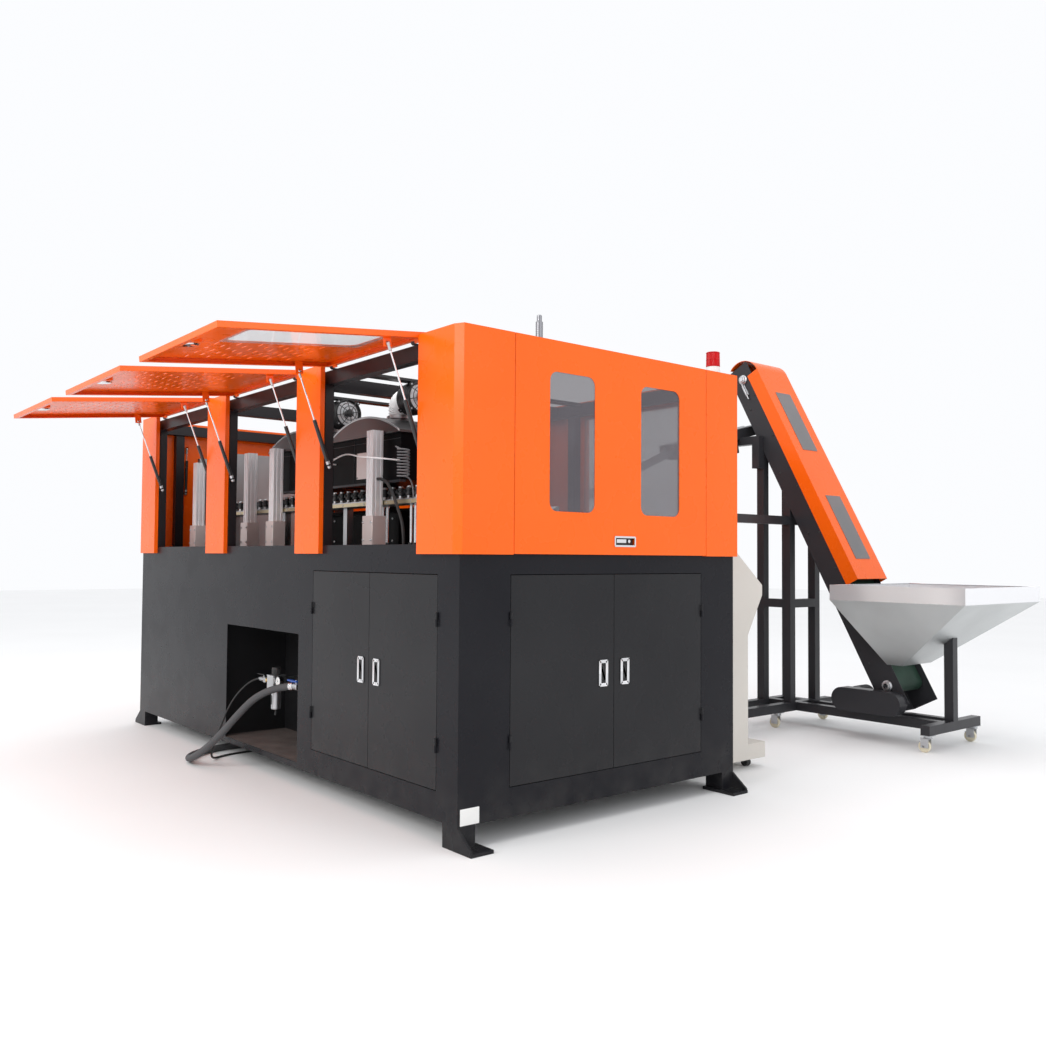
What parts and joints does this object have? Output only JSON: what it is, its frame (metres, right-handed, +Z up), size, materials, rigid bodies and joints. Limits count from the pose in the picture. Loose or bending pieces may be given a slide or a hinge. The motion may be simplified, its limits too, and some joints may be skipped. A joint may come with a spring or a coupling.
{
  "type": "stretch blow moulding machine",
  "caption": "Linear bottle blow moulding machine with gull doors over ovens and a mould clamp, a console, and a preform elevator with hopper and roller sorter.",
  "frame": {"origin": "floor under the middle of the main machine, at the centre of its four anchor holes", "axes": "+Z up, -Y towards the open gull doors on the long front, +X towards the near end with two windows"},
  "size_m": [4.439, 5.2333, 2.7029],
  "materials": {
    "charcoal": "satin",
    "orange": "satin",
    "frame_dark": "satin",
    "steel": "brushed",
    "chrome": "polished",
    "aluminium": "satin",
    "cream": "satin",
    "glass": "clear",
    "rubber": "matt",
    "hose_grey": "matt",
    "black_plastic": "matt",
    "white_duct": "matt",
    "red_plastic": "gloss",
    "blue_plastic": "gloss",
    "belt_green": "matt"
  },
  "bodies": {
    "machine": {"air_ducts": "white_duct", "ball_valve": "steel", "base_cabinet": "charcoal", "beacon": "red_plastic", "cables": "rubber", "casters": "steel", "clamp_frame": "steel", "console_cabinet": "cream", "cross_frames": "frame_dark", "drain_tube": "rubber", "drive_units": "frame_dark", "elevator_belt": "belt_green", "elevator_cover": "orange", "elevator_stand": "frame_dark", "elevator_trough": "frame_dark", "fan_housings": "black_plastic", "filter_regulator": "steel", "fixed_covers": "orange", "fixed_windows": "glass", "front_frame": "frame_dark", "hopper": "steel", "hose_coupling": "steel", "oven_body": "frame_dark", "oven_hoods": "steel", "preform_rail": "steel", "profile_posts": "aluminium", "rear_frame": "frame_dark", "recess_box": "frame_dark", "silencer": "steel", "slide_rail": "steel", "supply_hose": "hose_grey"},
    "gull_1": {"gull_door_1": "orange", "gull_window": "glass"},
    "gull_2": {"gull_door_2": "orange"},
    "gull_3": {"gull_door_3": "orange"},
    "lift": {"lift_door": "orange", "lift_windows": "glass"},
    "far_lift": {"far_lift_door": "orange"},
    "cabinet_front_a": {"front_door_a": "charcoal"},
    "cabinet_front_b": {"front_door_b": "charcoal"},
    "cabinet_end_a": {"end_door_a": "charcoal"},
    "cabinet_end_b": {"end_door_b": "charcoal"},
    "fans": {"fan_impellers": "aluminium"},
    "platen": {"mould_platen": "steel"},
    "knob": {"regulator_knob": "black_plastic"},
    "valve": {"valve_handle": "blue_plastic"},
    "head": {"head_shaft": "steel"},
    "tail": {"tail_shaft": "steel"},
    "roller_a": {"sorter_roller_a": "steel"},
    "roller_b": {"sorter_roller_b": "steel"},
    "cylinders_1": {"strut_cylinders_1": "rubber"},
    "rods_1": {"strut_rods_1": "chrome"},
    "cylinders_2": {"strut_cylinders_2": "rubber"},
    "rods_2": {"strut_rods_2": "chrome"},
    "cylinders_3": {"strut_cylinders_3": "rubber"},
    "rods_3": {"strut_rods_3": "chrome"},
    "lift_cylinders": {"lift_door_cylinders": "rubber"},
    "lift_rods": {"lift_door_rods": "chrome"},
    "far_lift_cylinders": {"far_lift_door_cylinders": "rubber"},
    "far_lift_rods": {"far_lift_door_rods": "chrome"}
  },
  "joints": [
    {"name": "gull_1_hinge", "type": "hinge", "parent": "machine", "child": "gull_1", "pos_m": [1.1985, -0.8745, 2.148], "axis": [1, 0, 0], "range_deg": [0, 84]},
    {"name": "cylinders_1_pivot", "type": "hinge", "parent": "machine", "child": "cylinders_1", "pos_m": [1.1985, -0.8675, 1.648], "axis": [1, 0, 0], "range_deg": [-22.7, 0]},
    {"name": "rods_1_slide", "type": "slide", "parent": "cylinders_1", "child": "rods_1", "axis": [0, -0.3531, 0.9356], "range_m": [-0.1675, 0]},
    {"name": "gull_2_hinge", "type": "hinge", "parent": "machine", "child": "gull_2", "pos_m": [0.027, -0.8745, 2.148], "axis": [1, 0, 0], "range_deg": [0, 84]},
    {"name": "cylinders_2_pivot", "type": "hinge", "parent": "machine", "child": "cylinders_2", "pos_m": [0.027, -0.8675, 1.648], "axis": [1, 0, 0], "range_deg": [-22.7, 0]},
    {"name": "rods_2_slide", "type": "slide", "parent": "cylinders_2", "child": "rods_2", "axis": [0, -0.3531, 0.9356], "range_m": [-0.1675, 0]},
    {"name": "gull_3_hinge", "type": "hinge", "parent": "machine", "child": "gull_3", "pos_m": [-1.175, -0.8745, 2.148], "axis": [1, 0, 0], "range_deg": [0, 84]},
    {"name": "cylinders_3_pivot", "type": "hinge", "parent": "machine", "child": "cylinders_3", "pos_m": [-1.175, -0.8675, 1.648], "axis": [1, 0, 0], "range_deg": [-22.7, 0]},
    {"name": "rods_3_slide", "type": "slide", "parent": "cylinders_3", "child": "rods_3", "axis": [0, -0.3531, 0.9356], "range_m": [-0.1675, 0]},
    {"name": "lift_hinge", "type": "hinge", "parent": "machine", "child": "lift", "pos_m": [1.922, 0.01, 2.148], "axis": [0, -1, 0], "range_deg": [0, 84]},
    {"name": "lift_cylinder_pivot", "type": "hinge", "parent": "machine", "child": "lift_cylinders", "pos_m": [1.915, 0.01, 1.648], "axis": [0, -1, 0], "range_deg": [-22.7, 0]},
    {"name": "lift_rod_slide", "type": "slide", "parent": "lift_cylinders", "child": "lift_rods", "axis": [-0.0334, 0, 0.9994], "range_m": [0, 0.1675]},
    {"name": "far_lift_hinge", "type": "hinge", "parent": "machine", "child": "far_lift", "pos_m": [-1.922, 0.01, 2.148], "axis": [0, 1, 0], "range_deg": [0, 84]},
    {"name": "far_lift_cylinder_pivot", "type": "hinge", "parent": "machine", "child": "far_lift_cylinders", "pos_m": [-1.915, 0.01, 1.648], "axis": [0, 1, 0], "range_deg": [-22.7, 0]},
    {"name": "far_lift_rod_slide", "type": "slide", "parent": "far_lift_cylinders", "child": "far_lift_rods", "axis": [0.0334, 0, 0.9994], "range_m": [0, 0.1675]},
    {"name": "front_a_hinge", "type": "hinge", "parent": "machine", "child": "cabinet_front_a", "pos_m": [1.775, -0.8888, 0.67], "axis": [0, 0, 1], "range_deg": [0, 110]},
    {"name": "front_b_hinge", "type": "hinge", "parent": "machine", "child": "cabinet_front_b", "pos_m": [0.658, -0.8888, 0.67], "axis": [0, 0, -1], "range_deg": [0, 110]},
    {"name": "end_a_hinge", "type": "hinge", "parent": "machine", "child": "cabinet_end_a", "pos_m": [1.9363, -0.6145, 0.67], "axis": [0, 0, -1], "range_deg": [0, 110]},
    {"name": "end_b_hinge", "type": "hinge", "parent": "machine", "child": "cabinet_end_b", "pos_m": [1.9363, 0.6275, 0.67], "axis": [0, 0, 1], "range_deg": [0, 110]},
    {"name": "fan_spin", "type": "hinge", "parent": "machine", "child": "fans", "pos_m": [0.65, -0.3725, 2.045], "axis": [1, 0, 0], "continuous": true},
    {"name": "platen_slide", "type": "slide", "parent": "machine", "child": "platen", "axis": [-1, 0, 0], "range_m": [0, 0.28]},
    {"name": "knob_turn", "type": "hinge", "parent": "machine", "child": "knob", "pos_m": [0.04, -0.7825, 0.56], "axis": [0, 0, 1], "range_deg": [-180, 180]},
    {"name": "valve_turn", "type": "hinge", "parent": "machine", "child": "valve", "pos_m": [0.29, -0.7825, 0.527], "axis": [0, 0, 1], "range_deg": [0, 90]},
    {"name": "head_spin", "type": "hinge", "parent": "machine", "child": "head", "pos_m": [0.564, 2.9205, 2.558], "axis": [0, 1, 0], "continuous": true},
    {"name": "tail_spin", "type": "hinge", "parent": "machine", "child": "tail", "pos_m": [1.73211, 2.9205, 0.37033], "axis": [0, 1, 0], "continuous": true},
    {"name": "roller_a_spin", "type": "hinge", "parent": "machine", "child": "roller_a", "pos_m": [0.444, 2.0175, 1.995], "axis": [0, 0.9724, 0.2334], "continuous": true},
    {"name": "roller_b_spin", "type": "hinge", "parent": "machine", "child": "roller_b", "pos_m": [0.536, 2.0175, 1.995], "axis": [0, 0.9724, 0.2334], "continuous": true}
  ],
  "couplings": [
    {"joint": "cylinders_1_pivot", "follows": "gull_1_hinge", "ratio": -0.26893},
    {"joint": "rods_1_slide", "follows": "gull_1_hinge", "m_per_rad": -0.11391},
    {"joint": "cylinders_2_pivot", "follows": "gull_2_hinge", "ratio": -0.26893},
    {"joint": "rods_2_slide", "follows": "gull_2_hinge", "m_per_rad": -0.11391},
    {"joint": "cylinders_3_pivot", "follows": "gull_3_hinge", "ratio": -0.26893},
    {"joint": "rods_3_slide", "follows": "gull_3_hinge", "m_per_rad": -0.11391},
    {"joint": "lift_cylinder_pivot", "follows": "lift_hinge", "ratio": -0.26893},
    {"joint": "lift_rod_slide", "follows": "lift_hinge", "m_per_rad": 0.11391},
    {"joint": "far_lift_cylinder_pivot", "follows": "far_lift_hinge", "ratio": -0.26893},
    {"joint": "far_lift_rod_slide", "follows": "far_lift_hinge", "m_per_rad": 0.11391},
    {"joint": "tail_spin", "follows": "head_spin", "ratio": 1},
    {"joint": "roller_b_spin", "follows": "roller_a_spin", "ratio": -1}
  ]
}
